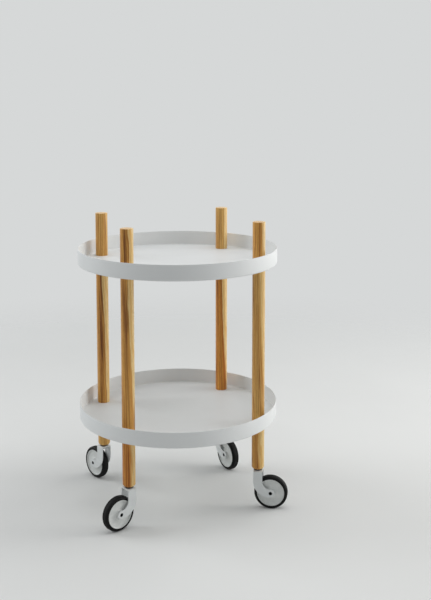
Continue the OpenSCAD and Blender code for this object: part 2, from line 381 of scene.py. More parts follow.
@dataclass(frozen=True)
class OakBoard:
    """The board that one dowel was turned from, oiled oak.

    The ring pattern is solid: the rings run through the dowel, so that the end
    grain on top belongs to the grain on the side.

    Attributes:
        light: Colour of the early wood.
        dark: Colour of the late wood.
        streak: Colour of the mineral streaks and of the pores.
        pith: Where the tree's middle lies from the dowel's, in millimetres.
        turn: How the board is turned about the dowel's axis, in degrees.
        shift: Which stretch of the grain the dowel shows, in metres.
        streaks: How strong the mineral streaks are.
        sap_and_highlight: Distance from the pith where the pale sapwood starts, in millimetres; the boards
            put this sapwood down the dowel's right side, seen from the camera, as a painted highlight.
        ring: Width of a year's growth, in millimetres.
        lean: How far the tree's axis leans from the dowel's, in degrees.
        sap_and_highlight_edge: Width over which the sapwood and its painted highlight start, in millimetres.
        wander_reach: How far the rings wander, in millimetres.
        touched: Length at the top that hands have paled, in millimetres.
        fuzz: Colour of the sheen on the fine fibres.
    """

    light: Colour
    dark: Colour
    streak: Colour
    pith: Point
    turn: float
    shift: float
    streaks: float
    sap_and_highlight: float = 90.0
    ring: float = 4.4
    lean: Point = (1.6, -1.1)
    sap_and_highlight_edge: float = 2.4
    # Pale sapwood colours, which also paint the highlight down the dowel's right side.
    sap_and_highlight_light: Colour = srgb(238, 208, 146)
    sap_and_highlight_dark: Colour = srgb(224, 180, 108)
    # End grain colours, painted paler than the wood's own as light from above on the tops.
    lit_sawn_pale: Colour = srgb(234, 208, 164)
    lit_sawn_dark: Colour = srgb(202, 160, 106)
    wander: Pattern = Pattern((24, 24, 4.5), 2, 0.5, 0.6)
    wander_reach: float = 16.0
    fibre: Pattern = Pattern((1300, 1300, 26), 2, 0.6)
    pore: Pattern = Pattern((2600, 2600, 75), 1)
    broad: Pattern = Pattern((130, 130, 3.2), 3, 0.55)
    mineral: Pattern = Pattern((95, 95, 2.6), 3, 0.6, 0.5)
    ray: Pattern = Pattern((520, 1500, 120), 1)
    touched: float = 22.0
    grain_depth: float = 0.03
    fuzz: Colour = srgb(242, 222, 186)
    roughness: float = 0.33

    def material(self, name: str, centre: Vector, top: float) -> Material:
        """Builds the wood for one dowel.

        Args:
            name: The material's name.
            centre: The dowel's middle, in metres.
            top: Height of the dowel's upper end, in metres.

        Returns:
            The material.
        """
        sheet = NodeSheet(name, centre)
        across = sheet.place(*self.lean, self.turn)
        at = sheet.vector("ADD", across, (0, 0, self.shift))
        phase, reach = self.rings(sheet, across, at)
        late = sheet.between(phase, 0.15, 0.80)
        band = sheet.math("SUBTRACT", late, sheet.between(phase, 0.86, 1.0))
        fibre = sheet.noise(at, self.fibre)
        early = sheet.between(phase, 0.0, 0.6, 1.0, 0.25)
        porous = sheet.math("MULTIPLY", sheet.between(sheet.noise(at, self.pore), 0.56, 0.68), early)
        base = self.grain(sheet, at, band, reach)
        base = sheet.mix(sheet.between(fibre, 0.35, 0.75, 0.0, 0.22), base, self.streak)
        base = sheet.mix(sheet.math("MULTIPLY", porous, 0.5), base, self.streak)
        base = self.top_light_and_wear(sheet, base, band, top)
        gloss = sheet.spread(fibre, 0.14, self.roughness)
        gloss = sheet.math("MULTIPLY_ADD", porous, 0.18, gloss)
        relief = sheet.math("SUBTRACT", sheet.math("MULTIPLY", fibre, 0.4), porous)
        sheet.relief(relief, self.grain_depth, 0.3)
        return sheet.dress(
            Base_Color=base,
            Roughness=gloss,
            Specular_IOR_Level=0.25,
            Sheen_Weight=0.6,
            Sheen_Roughness=0.3,
            Sheen_Tint=self.fuzz,
        )

    def rings(self, sheet: NodeSheet, across: NodeSocket, at: NodeSocket) -> tuple[NodeSocket, NodeSocket]:
        """Works out the growth rings round the pith.

        Args:
            sheet: The material's nodes.
            across: Coordinates from the dowel's middle, in metres.
            at: The same coordinates on this dowel's stretch of the board.

        Returns:
            The place within a year's ring, 0 to 1, and the distance from the pith, in metres.
        """
        flat = sheet.vector("MULTIPLY", across, (1, 1, 0))
        around = sheet.vector("ADD", flat, (self.pith[0] * MM, self.pith[1] * MM, 0))
        wander = sheet.noise(at, self.wander)
        reach = sheet.math("MULTIPLY_ADD", wander, self.wander_reach * MM, sheet.vector("LENGTH", around))
        return sheet.math("FRACT", sheet.math("DIVIDE", reach, self.ring * MM)), reach

    def grain(self, sheet: NodeSheet, at: NodeSocket, band: NodeSocket, reach: NodeSocket) -> NodeSocket:
        """Colours the wood by rings, mineral streaks, sapwood and ray flecks; the pale sapwood is also a
        painted highlight down the dowel's right side, seen from the camera.

        Args:
            sheet: The material's nodes.
            at: Coordinates along the board, in metres.
            band: How late in the year the wood grew, 0 to 1.
            reach: Distance from the pith, in metres.

        Returns:
            The colour.
        """
        broad = sheet.between(sheet.noise(at, self.broad), 0.36, 0.64)
        tone = sheet.math("MULTIPLY_ADD", band, 0.55, sheet.math("MULTIPLY", broad, 0.45))
        base = sheet.mix(tone, self.light, self.dark)
        mineral = sheet.between(sheet.noise(at, self.mineral), 0.52, 0.68, 0.0, self.streaks)
        base = sheet.mix(mineral, base, self.streak)
        # Pale sapwood, placed down the dowel's right side as a painted highlight.
        sap_and_highlight = sheet.between(reach, self.sap_and_highlight * MM, (self.sap_and_highlight + self.sap_and_highlight_edge) * MM, 0.0, 0.9)
        base = sheet.mix(sap_and_highlight, base, sheet.mix(band, self.sap_and_highlight_light, self.sap_and_highlight_dark))
        ray = sheet.between(sheet.noise(at, self.ray), 0.66, 0.74, 0.0, 0.22)
        return sheet.mix(ray, base, self.light)

    def top_light_and_wear(self, sheet: NodeSheet, base: NodeSocket, band: NodeSocket, top: float) -> NodeSocket:
        """Gives the faces that look up the sawn end grain's ring colours, painted paler as if lit from above,
        and pales the top where hands touch the dowel.

        Args:
            sheet: The material's nodes.
            base: The colour so far.
            band: How late in the year the wood grew, 0 to 1.
            top: Height of the dowel's upper end, in metres.

        Returns:
            The colour.
        """
        # Faces that look up get end grain colours painted pale, as if lit from above.
        facing = sheet.add("SeparateXYZ", sheet.add("NewGeometry").outputs["Normal"]).outputs["Z"]
        lit_sawn_top = sheet.between(facing, 0.75, 0.97, 0.0, 0.6)
        base = sheet.mix(lit_sawn_top, base, sheet.mix(band, self.lit_sawn_pale, self.lit_sawn_dark))
        touched = sheet.between(sheet.height(), top - self.touched * MM, top, 0.0, 0.16)
        return sheet.mix(touched, base, self.light)


@dataclass(frozen=True)
class Lacquer:
    """Pale satin lacquer on the folded steel of a fork, with a few nicks."""

    colour: Colour = srgb(226, 229, 229)
    shade: Colour = srgb(214, 217, 217)
    nick: Colour = srgb(150, 152, 151)
    roughness: float = 0.36
    cloud: Pattern = Pattern(70, 3)
    nicks: Pattern = Pattern(520, 3, 0.6)
    grain: Pattern = Pattern(2400)
    grain_depth: float = 0.02

    def material(self, name: str, centre: Vector) -> Material:
        """Builds the lacquer.

        Args:
            name: The material's name.
            centre: The fork's middle, in metres.

        Returns:
            The material.
        """
        sheet = NodeSheet(name, centre)
        at = sheet.place()
        cloud = sheet.noise(at, self.cloud)
        nicks = sheet.between(sheet.noise(at, self.nicks), 0.73, 0.80, 0.0, 0.4)
        base = sheet.mix(nicks, sheet.mix(cloud, self.colour, self.shade), self.nick)
        sheet.relief(sheet.noise(at, self.grain), self.grain_depth, 0.4)
        return sheet.dress(Base_Color=base, Roughness=sheet.spread(cloud, 0.12, self.roughness))


@dataclass(frozen=True)
class TwoTone:
    """A finish that drifts between two near shades, with a rubbed gloss and a fine grain."""

    colour: Colour
    shade: Colour
    roughness: float
    flow: Pattern
    rub: Pattern
    rub_width: float
    grain: Pattern
    grain_depth: float
    metallic: float

    def material(self, name: str, centre: Vector) -> Material:
        """Builds the finish.

        Args:
            name: The material's name.
            centre: The piece's middle, in metres.

        Returns:
            The material.
        """
        sheet = NodeSheet(name, centre)
        at = sheet.place()
        base = sheet.mix(sheet.between(sheet.noise(at, self.flow), 0.3, 0.7), self.colour, self.shade)
        gloss = sheet.spread(sheet.noise(at, self.rub), self.rub_width, self.roughness)
        sheet.relief(sheet.noise(at, self.grain), self.grain_depth, 0.5)
        return sheet.dress(Base_Color=base, Roughness=gloss, Metallic=self.metallic)


@dataclass(frozen=True)
class MouldedPlastic(TwoTone):
    """Moulded plastic: pale on the wheel discs, black on the collars, milky on the bushes."""

    colour: Colour = srgb(220, 222, 220)
    shade: Colour = srgb(209, 212, 210)
    roughness: float = 0.45
    flow: Pattern = Pattern(95, 3, 0.55, 0.3)
    rub: Pattern = Pattern(340, 4, 0.65)
    rub_width: float = 0.16
    grain: Pattern = Pattern(3200)
    grain_depth: float = 0.02
    metallic: float = 0.0


@dataclass(frozen=True)
class TurnedMetal(TwoTone):
    """Turned and plated metal: zinc-plated steel, or plain brass."""

    colour: Colour = srgb(196, 198, 200)
    shade: Colour = srgb(168, 171, 174)
    roughness: float = 0.34
    flow: Pattern = Pattern(260, 3, 0.6)
    rub: Pattern = Pattern((500, 500, 4200))
    rub_width: float = 0.2
    grain: Pattern = Pattern((500, 500, 4200))
    grain_depth: float = 0.01
    metallic: float = 1.0


@dataclass(frozen=True)
class TyreRubber:
    """Black rubber with a faint bloom, and a little dust where it rolls."""

    colour: Colour = srgb(11, 11, 11)
    bloom: Colour = srgb(18, 18, 18)
    dust: Colour = srgb(38, 37, 36)
    sheen: float = 0.15
    roughness: float = 0.5
    cloud: Pattern = Pattern(120, 4, 0.6)
    grain: Pattern = Pattern(3000)
    grain_depth: float = 0.04
    rolling: Point = (0.6, 0.02)  # depth under the tread where the dust starts and where it is full

    def material(self, name: str, centre: Vector, turn: float, tread: float) -> Material:
        """Builds the rubber.

        Args:
            name: The material's name.
            centre: The wheel's middle, in metres.
            turn: Direction from the stem to the axle, in degrees.
            tread: Radius of the tread, in millimetres.

        Returns:
            The material.
        """
        sheet = NodeSheet(name, centre)
        at = sheet.place(0, 0, turn)
        out = sheet.vector("LENGTH", sheet.vector("MULTIPLY", at, (1, 0, 1)))
        cloud = sheet.noise(at, self.cloud)
        rolled = sheet.between(out, *((tread - depth) * MM for depth in self.rolling))
        dusty = sheet.math("MULTIPLY", rolled, sheet.between(cloud, 0.42, 0.72, 0.05, 0.40))
        base = sheet.mix(sheet.between(cloud, 0.35, 0.7), self.colour, self.bloom)
        base = sheet.mix(dusty, base, self.dust)
        gloss = sheet.math("MULTIPLY_ADD", rolled, 0.15, sheet.spread(cloud, 0.20, self.roughness))
        sheet.relief(sheet.noise(at, self.grain), self.grain_depth, 0.5)
        return sheet.dress(Base_Color=base, Roughness=gloss, Specular_IOR_Level=self.sheen)


# Meshes


def linked(name: str, data: bpy.types.ID) -> Object:
    """Makes an object and links it to the scene.

    Args:
        name: The object's name.
        data: Its mesh, lamp or camera.

    Returns:
        The object.
    """
    item = bpy.data.objects.new(name, data)
    bpy.context.scene.collection.objects.link(item)
    return item


def mesh_of(name: str, work: bmesh.types.BMesh) -> Mesh:
    """Turns finished work into a mesh.

    Args:
        name: The mesh's name.
        work: The work, which is freed.

    Returns:
        The mesh.
    """
    mesh = bpy.data.meshes.new(name)
    work.to_mesh(mesh)
    work.free()
    return mesh


def clear(*solids: Object) -> None:
    """Removes working objects and their meshes.

    Args:
        *solids: The objects.
    """
    for solid in solids:
        data = solid.data
        bpy.data.objects.remove(solid)
        bpy.data.meshes.remove(data)


def shaped(solid: Object) -> Mesh:
    """Gives the mesh that a working object's modifiers make."""
    graph = bpy.context.evaluated_depsgraph_get()
    return bpy.data.meshes.new_from_object(solid.evaluated_get(graph))


class TreeMaker(Nodes):
    """Builds a Geometry Nodes tree with named inputs."""

    def __init__(self, name: str) -> None:
        """Starts the tree.

        Args:
            name: The tree's name.
        """
        super().__init__(bpy.data.node_groups.new(name, "GeometryNodeTree"))
        self.inputs: dict[str, str] = {}
        self.source = self.tree.nodes.new("NodeGroupInput")
        self.sink = self.tree.nodes.new("NodeGroupOutput")

    def ask(self, **kinds: str) -> None:
        """Adds inputs.

        Args:
            **kinds: Their names with _ for a space, and their kinds, such as Int or Float.
        """
        for name, kind in kinds.items():
            label = name.replace("_", " ")
            socket = self.tree.interface.new_socket(label, in_out="INPUT", socket_type="NodeSocket" + kind)
            self.inputs[label] = socket.identifier

    def grow(self, kind: str, settings: dict[str, str] | None = None, **joins: object) -> NodeSocket:
        """Adds a node and feeds its inputs.

        Args:
            kind: The node's type, without its GeometryNode prefix.
            settings: Properties to set on the node.
            **joins: Input names with _ for a space, and the outputs, names of the tree's
                inputs or constants that they take.

        Returns:
            The node's first output.
        """
        node = self.tree.nodes.new("GeometryNode" + kind)
        for key, value in (settings or {}).items():
            setattr(node, key, value)
        for key, value in joins.items():
            value = self.source.outputs[value] if isinstance(value, str) else value
            self.feed(node.inputs[key.replace("_", " ")], value)
        return node.outputs[0]

    def end(self, geometry: NodeSocket) -> None:
        """Makes a geometry the tree's output."""
        self.tree.interface.new_socket("Piece", in_out="OUTPUT", socket_type="NodeSocketGeometry")
        self.tree.links.new(geometry, self.sink.inputs["Piece"])


class Lathe:
    """Makes the round pieces: each is a half section that a node tree turns.

    Three trees share the same turning: a plain one, one that bores four stud
    holes, and one that repeats the piece under the four posts.
    """

    RING = 100.0  # radius of the sweeping circle
    DRILL_FLATS = 48
    DRILL_LENGTH = 12.0

    def __init__(self) -> None:
        """Builds the three trees."""
        self.plain = self._tree("turned_piece")
        self.bored = self._tree("turned_and_bored", bored=True)
        self.repeated = self._tree("turned_at_four_posts", repeated=True)

    def _tree(self, name: str, bored: bool = False, repeated: bool = False) -> TreeMaker:
        """Builds one tree.

        Args:
            name: The tree's name.
            bored: Whether four stud holes are bored at the posts.
            repeated: Whether the piece is repeated at the posts, on one or more levels.

        Returns:
            The finished tree.
        """
        maker = TreeMaker(name)
        maker.ask(Profile="Geometry", Steps_Round="Int", Finish="Material")
        edge = maker.grow("MeshToCurve", Mesh="Profile")
        circle = {"Resolution": "Steps Round", "Radius": self.RING}
        ring = maker.grow("CurvePrimitiveCircle", {"mode": "RADIUS"}, **circle)
        sweep = maker.grow("CurveToMesh", Curve=ring, Profile_Curve=edge)
        shape = maker.grow("MergeByDistance", Geometry=sweep, Distance=WELD)
        if bored or repeated:
            maker.ask(Spacing_X="Float", Spacing_Y="Float")
            spacing = {"Size_X": "Spacing X", "Size_Y": "Spacing Y"}
            posts = maker.grow("MeshGrid", **spacing, Vertices_X=2, Vertices_Y=2)
        if bored:
            maker.ask(Hole_Radius="Float")
            sizes = {"Vertices": self.DRILL_FLATS, "Radius": "Hole Radius", "Depth": self.DRILL_LENGTH}
            drill = maker.grow("MeshCylinder", **sizes)
            drills = maker.grow("InstanceOnPoints", Points=posts, Instance=drill)
            cutters = maker.grow("RealizeInstances", Geometry=drills)
            cut = {"operation": "DIFFERENCE", "solver": "EXACT"}
            shape = maker.grow("MeshBoolean", cut, Mesh_1=shape, Mesh_2=cutters)
        if repeated:
            maker.ask(Levels="Int", Level_Gap="Float")
            gap = maker.add("CombineXYZ", 0.0, 0.0, maker.source.outputs["Level Gap"]).outputs[0]
            levels = maker.grow("MeshLine", {"mode": "OFFSET"}, Count="Levels", Offset=gap)
            stack = maker.grow("InstanceOnPoints", Points=levels, Instance=shape)
            shape = maker.grow("InstanceOnPoints", Points=posts, Instance=stack)
        real = maker.grow("RealizeInstances", Geometry=shape)
        maker.end(maker.grow("SetMaterial", Geometry=real, Material="Finish"))
        return maker

    def turn(
        self,
        name: str,
        profile: Profile,
        place: Matrix,
        finish: Material,
        steps: int = 96,
        maker: TreeMaker | None = None,
        closed: bool = True,
        **sizes: float,
    ) -> Object:
        """Turns a half section into a finished piece.

        Args:
            name: The piece's name.
            profile: Radius and height of each point of the half section, in millimetres.
            place: From the drawing's frame, in millimetres, to the trolley's, in millimetres.
            finish: The piece's material.
            steps: Number of flats round the piece.
            maker: The tree, the plain one if left out.
            closed: Whether the section's last point joins its first.
            **sizes: The tree's other inputs, with _ for a space.

        Returns:
            The piece, in metres, with its object at the origin.
        """
        maker = maker or self.plain
        count = len(profile)
        edges = [(k, (k + 1) % count) for k in range(count if closed else count - 1)]
        section = bpy.data.meshes.new(name + "_section")
        section.from_pydata([(r - self.RING, -z, 0) for r, z in profile], edges, [])
        blank = linked(name + "_blank", section)
        modifier = blank.modifiers.new("turn", "NODES")
        modifier.node_group = maker.tree
        for key, value in {"Steps_Round": steps, "Finish": finish, **sizes}.items():
            modifier[maker.inputs[key.replace("_", " ")]] = value
        mesh = shaped(blank)
        clear(blank)
        return piece_from(name, mesh, place, finish)


def piece_from(name: str, mesh: Mesh, place: Matrix, finish: Material) -> Object:
    """Finishes a mesh and links it as a piece.

    Args:
        name: The piece's name.
        mesh: A closed mesh, in millimetres.
        place: Its place on the trolley, in millimetres.
        finish: Its material.

    Returns:
        The piece, in metres, with its object at the origin.
    """
    work = bmesh.new()
    work.from_mesh(mesh)
    bmesh.ops.remove_doubles(work, verts=work.verts, dist=WELD)
    bmesh.ops.transform(work, matrix=Matrix.Scale(MM, 4) @ place, verts=work.verts)
    bmesh.ops.recalc_face_normals(work, faces=work.faces)
    for face in work.faces:
        face.smooth = True
        face.material_index = 0
    for edge in work.edges:
        edge.smooth = edge.calc_face_angle(math.pi) < SHARP_ANGLE
    bpy.data.meshes.remove(mesh)
    clean = mesh_of(name, work)
    clean.materials.append(finish)
    return linked(name, clean)


def joined(name: str, parts: list[Object]) -> Object:
    """Joins pieces of one finish into one piece.

    Args:
        name: The new piece's name.
        parts: The pieces, which are removed.

    Returns:
        The joined piece.
    """
    work = bmesh.new()
    for part in parts:
        work.from_mesh(part.data)
    mesh = mesh_of(name, work)
    mesh.materials.append(parts[0].data.materials[0])
    clear(*parts)
    return linked(name, mesh)


def prism(name: str, outline: Profile, low: float, high: float, place: Matrix) -> Object:
    """Extrudes an outline into a closed working solid.

    Args:
        name: The object's name.
        outline: The outline's points, in order.
        low: Where the solid starts along its own Z.
        high: Where it ends.
        place: From the outline's frame to the drawing's.

    Returns:
        The working object.
    """
    count = len(outline)
    corners = [(x, y, low) for x, y in outline] + [(x, y, high) for x, y in outline]
    sides = [(k, (k + 1) % count, count + (k + 1) % count, count + k) for k in range(count)]
    mesh = bpy.data.meshes.new(name)
    mesh.from_pydata(corners, [], [*sides, tuple(range(count))[::-1], tuple(range(count, 2 * count))])
    mesh.transform(place)
    work = bmesh.new()
    work.from_mesh(mesh)
    bmesh.ops.recalc_face_normals(work, faces=work.faces)
    work.to_mesh(mesh)
    work.free()
    return linked(name, mesh)


def carve(blank: Object, tools: list[tuple[Object, str]], ease: float) -> Mesh:
    """Cuts a working solid with others, eases its edges and clears the working objects.

    Args:
        blank: The solid to cut.
        tools: The cutting solids and their Boolean operations, in order.
        ease: Width of the eased edges, in millimetres.

    Returns:
        The finished mesh.
    """
    for tool, operation in tools:
        cut = blank.modifiers.new("cut", "BOOLEAN")
        cut.operation = operation
        cut.solver = "EXACT"
        cut.object = tool
    edge = blank.modifiers.new("ease", "BEVEL")
    edge.limit_method = "ANGLE"
    edge.angle_limit = EASED_ANGLE
    edge.width = ease
    edge.segments = 3
    mesh = shaped(blank)
    clear(blank, *(tool for tool, _ in tools))
    return mesh


def settle(piece: Object, body: str, slot: Slot, *nodes: str) -> None:
    """Puts a piece on its CAD body in place of CAD nodes.

    Args:
        piece: The finished piece.
        body: The body that it rides on.
        slot: The record's material slot; not used.
        *nodes: The CAD nodes that it stands for.
    """
    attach(piece, body)
    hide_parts(*nodes)
    LOG.info("%s: %d faces, on %s", piece.name, len(piece.data.polygons), body)


# Sub-assemblies


def box_of(node: str) -> tuple[Vector, Vector]:
    """Gives the lower and the upper corner of a CAD node's box, in millimetres."""
    low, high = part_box(node)
    return low / MM, high / MM


def middle_of(node: str) -> Vector:
    """Gives the middle of a CAD node's box, in metres."""
    return sum(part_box(node), Vector()) / 2


@dataclass(frozen=True)
class Finishes:
    """The finishes of the whole trolley, apart from its oak boards."""

    coat: PowderCoat = PowderCoat()
    steel: TurnedMetal = TurnedMetal()
    # Axle steel painted dark, standing in for the shade inside the axle's bore.
    bore_shade_steel: TurnedMetal = TurnedMetal(srgb(62, 64, 67), srgb(46, 48, 51), 0.5)
    brass: TurnedMetal = TurnedMetal(srgb(205, 172, 104), srgb(182, 146, 80), 0.38)
    lacquer: Lacquer = Lacquer()
    disc: MouldedPlastic = MouldedPlastic()
    collar: MouldedPlastic = MouldedPlastic(srgb(22, 22, 23), srgb(30, 30, 31), 0.45)
    bush: MouldedPlastic = MouldedPlastic(srgb(224, 222, 212), srgb(214, 211, 200), 0.45)
    rubber: TyreRubber = TyreRubber()


@dataclass
class Workshop:
    """What the sub-assemblies share: the lathe, the finishes and the frame that they stand on."""

    lathe: Lathe
    finishes: Finishes = Finishes()
    frame_body: str = "trolley_frame"

    def spacing(self) -> dict[str, float]:
        """Gives the posts' spacing along X and along Y, in millimetres, for the lathe."""
        low, high = box_of(f"{Tier.TOP.value}_{Corner.BACK_RIGHT.value}")
        return {"Spacing_X": low.x + high.x, "Spacing_Y": low.y + high.y}


@dataclass
class Tray:
    """A tray pressed from one sheet: a flat floor and a plain rim."""

    node: str
    shop: Workshop
    sheet: float = 1.5
    fold: float = 4.0
    hole: float = 4.2
    steps: int = 288

    def section(self, radius: float, height: float) -> Profile:
        """Draws the half section, from the middle of the floor round the rim.

        Args:
            radius: Outer radius of the rim.
            height: Height from the underside to the rim's edge.

        Returns:
            The half section.
        """
        bend = (radius - self.fold, self.fold)
        lip = (radius - self.sheet / 2, height - self.sheet / 2)
        return [
            (0, self.sheet),
            *arc(bend, self.fold - self.sheet, -90, 0),
            *arc(lip, self.sheet / 2, 180, 0, 12),
            *arc(bend, self.fold, 0, -90),
            (0, 0),
        ]

    def build(self) -> None:
        """Makes the tray and settles it on the frame."""
        low, high = box_of(self.node)
        lathe, coat = self.shop.lathe, self.shop.finishes.coat
        piece = lathe.turn(
            "pressed_" + self.node,
            self.section(high.x, high.z - low.z),
            Matrix.Translation((0, 0, low.z)),
            coat.material(self.node + "_coat", high.z * MM),
            self.steps,
            lathe.bored,
            closed=False,
            Hole_Radius=self.hole,
            **self.shop.spacing(),
        )
        settle(piece, self.shop.frame_body, Slot.POWDER_COAT, self.node)


@dataclass
class Posts:
    """The twelve lengths of turned dowel, each from its own board."""

    shop: Workshop
    boards: dict[tuple[Tier, Corner], OakBoard]
    foot_round: float = 6.0
    top_round: float = 1.0
    sawn_round: float = 0.4
    pocket_radius: float = 6.0
    pocket_depth: float = 20.0
    steps: int = 120

    def section(self, tier: Tier, radius: float, length: float) -> Profile:
        """Draws the half section of a dowel with its insert pockets.

        Args:
            tier: Which length of the leg it is.
            radius: Radius of the dowel.
            length: Length of the dowel.

        Returns:
            The half section, from its lower to its upper end.
        """
        foot = self.foot_round if tier is Tier.LOWER else self.sawn_round
        head = self.top_round if tier is Tier.TOP else self.sawn_round
        pocket, depth = self.pocket_radius, self.pocket_depth
        top = [(pocket, length), (pocket, length - depth), (0, length - depth)]
        return [
            (0, depth),
            (pocket, depth),
            (pocket, 0),
            *arc((radius - foot, foot), foot, -90, 0, 12),
            *arc((radius - head, length - head), head, 0, 90, 8),
            *([(0, length)] if tier is Tier.TOP else top),
        ]

    def build(self) -> None:
        """Makes the twelve dowels and settles them on the frame."""
        for (tier, corner), board in self.boards.items():
            node = f"{tier.value}_{corner.value}"
            low, high = box_of(node)
            middle = (low + high) / 2
            piece = self.shop.lathe.turn(
                "oak_" + node,
                self.section(tier, (high.x - low.x) / 2, high.z - low.z),
                Matrix.Translation((middle.x, middle.y, low.z)),
                board.material("oak_of_" + node, middle * MM, high.z * MM),
                self.steps,
                closed=False,
            )
            settle(piece, self.shop.frame_body, Slot.OAK, node)


@dataclass
class Hardware:
    """What holds posts, trays and casters together, inside the wood."""

    shop: Workshop
    stud_radius: float = 4.0
    insert_radius: float = 6.0
    insert_length: float = 15.0
    thread_pitch: float = 1.25
    thread_depth: float = 0.35
    chamfer: float = 0.6
    steps: int = 32

    def ribbed(self, radius: float, length: float) -> Profile:
        """Draws the outside of a threaded rod, its ends chamfered.

        Args:
            radius: Radius over the thread.
            length: Length of the rod.

        Returns:
            The outside, from the lower to the upper end.
        """
        root = radius - self.thread_depth
        turns = int((length - 2 * self.chamfer) / self.thread_pitch)
        start = (length - turns * self.thread_pitch) / 2
        points: Profile = [(radius - self.chamfer, 0)]
        for k in range(turns):
            at = start + k * self.thread_pitch
            points += [(root, at), (radius, at + self.thread_pitch / 2)]
        return [*points, (root, start + turns * self.thread_pitch), (radius - self.chamfer, length)]

    def build(self) -> None:
        """Makes the studs and inserts, each kind repeated at the four posts."""
        lathe, finishes = self.shop.lathe, self.shop.finishes
        stud_steel = finishes.steel.material("stud_steel", Vector())
        insert_brass = finishes.brass.material("insert_brass", Vector())
        at_trays = ("upper_joint_studs", "upper_joint_inserts", "lower_joint_studs", "lower_joint_inserts")
        for node in (*at_trays, "caster_inserts"):
            low, high = box_of(node)
            length = high.z - low.z
            stud = node.endswith("studs")
            if stud:
                section = [(0, 0), *self.ribbed(self.stud_radius, length), (0, length)]
            else:
                bore = [(self.stud_radius, self.insert_length), (self.stud_radius, 0)]
                section = self.ribbed(self.insert_radius, self.insert_length) + bore
            piece = lathe.turn(
                "threaded_" + node,
                section,
                Matrix.Translation((0, 0, low.z)),
                stud_steel if stud else insert_brass,
                self.steps,
                lathe.repeated,
                closed=not stud,
                Levels=2 if node.endswith("joint_inserts") else 1,
                Level_Gap=length - self.insert_length,
                **self.shop.spacing(),
            )
            settle(piece, self.shop.frame_body, Slot.ZINC_STEEL if stud else Slot.INSERT_BRASS, node)


